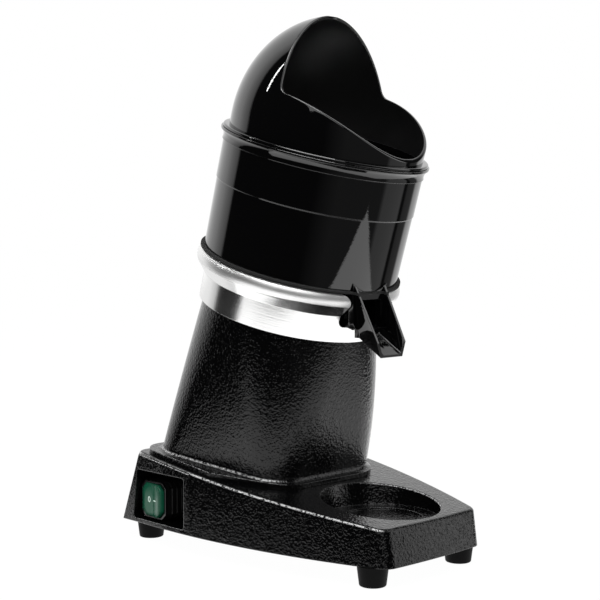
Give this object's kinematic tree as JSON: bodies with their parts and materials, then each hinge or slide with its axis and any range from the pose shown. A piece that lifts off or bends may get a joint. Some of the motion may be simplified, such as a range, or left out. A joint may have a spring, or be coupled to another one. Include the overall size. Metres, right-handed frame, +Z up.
{
  "type": "citrus juicer",
  "caption": "Electric citrus juicer: leaning motor column over a glass recess, lift-off bowl with a spout, strainer, ribbed reamer, splash hood with a cut-away mouth, and a rocker switch.",
  "frame": {"origin": "on the table, under the middle of the bounding box", "axes": "+Z up, -Y to the front where the spout is, +X to the right seen from the front"},
  "size_m": [0.178, 0.275, 0.4229],
  "materials": {
    "hammered_paint": "black hammered paint",
    "gloss_black": "high-gloss black",
    "polished_metal": "polished",
    "black_rubber": "matt",
    "green_lens": "translucent green",
    "switch_trim": "moulded frame",
    "switch_black": "moulded",
    "reamer_black": "satin",
    "strainer_steel": "brushed",
    "bright_steel": "ground",
    "zinc_screws": "zinc plated",
    "core_steel": "laminated",
    "copper_wire": "enamelled wire",
    "cast_bell": "as cast",
    "fan_nylon": "moulded",
    "cover_paint": "matt black",
    "capacitor_case": "moulded case",
    "terminal_nylon": "moulded"
  },
  "bodies": {
    "chassis": {"base_casting": "hammered_paint", "motor_column": "hammered_paint", "collar_ring": "polished_metal", "foot_front_left": "black_rubber", "foot_front_right": "black_rubber", "foot_rear_left": "black_rubber", "foot_rear_right": "black_rubber", "cord_grommet": "black_rubber", "shaft_seal": "black_rubber", "switch_bezel": "switch_trim", "switch_body": "switch_black", "upper_bearing": "bright_steel", "lower_bearing": "bright_steel", "foot_screws": "zinc_screws", "column_screws": "zinc_screws", "collar_screws": "zinc_screws", "motor_bolts": "zinc_screws", "capacitor_clip": "zinc_screws", "stator_core": "core_steel", "upper_winding": "copper_wire", "lower_winding": "copper_wire", "upper_end_bell": "cast_bell", "lower_end_bell": "cast_bell", "bottom_cover": "cover_paint", "run_capacitor": "capacitor_case", "terminal_block": "terminal_nylon"},
    "rotor": {"motor_shaft": "bright_steel", "rotor_core": "core_steel", "cooling_fan": "fan_nylon", "water_slinger": "black_rubber", "drive_pin": "bright_steel"},
    "bowl": {"juice_bowl": "gloss_black", "spout": "gloss_black", "bowl_gasket": "black_rubber"},
    "rocker": {"switch_rocker": "green_lens"},
    "strainer": {"strainer": "strainer_steel"},
    "reamer": {"reamer": "reamer_black"},
    "hood": {"splash_hood": "gloss_black"}
  },
  "joints": [
    {"name": "motor_spin", "type": "hinge", "parent": "chassis", "child": "rotor", "pos_m": [0, 0.01953, 0.19126], "axis": [0, -0.2924, 0.9563], "continuous": true},
    {"name": "switch_rock", "type": "hinge", "parent": "chassis", "child": "rocker", "pos_m": [-0.0786, 0.0958, 0.035], "axis": [0, 0, 1], "range_deg": [0, 16]},
    {"name": "bowl_lift", "type": "slide", "parent": "chassis", "child": "bowl", "axis": [0, -0.2924, 0.9563], "range_m": [0, 0.1]},
    {"name": "strainer_lift", "type": "slide", "parent": "bowl", "child": "strainer", "axis": [0, -0.2924, 0.9563], "range_m": [0, 0.05]},
    {"name": "reamer_spin", "type": "hinge", "parent": "strainer", "child": "reamer", "pos_m": [0, -0.00386, 0.26777], "axis": [0, -0.2924, 0.9563], "continuous": true},
    {"name": "hood_lift", "type": "slide", "parent": "bowl", "child": "hood", "axis": [0, -0.2924, 0.9563], "range_m": [0, 0.1]}
  ],
  "couplings": [
    {"joint": "reamer_spin", "follows": "motor_spin", "ratio": 1}
  ]
}
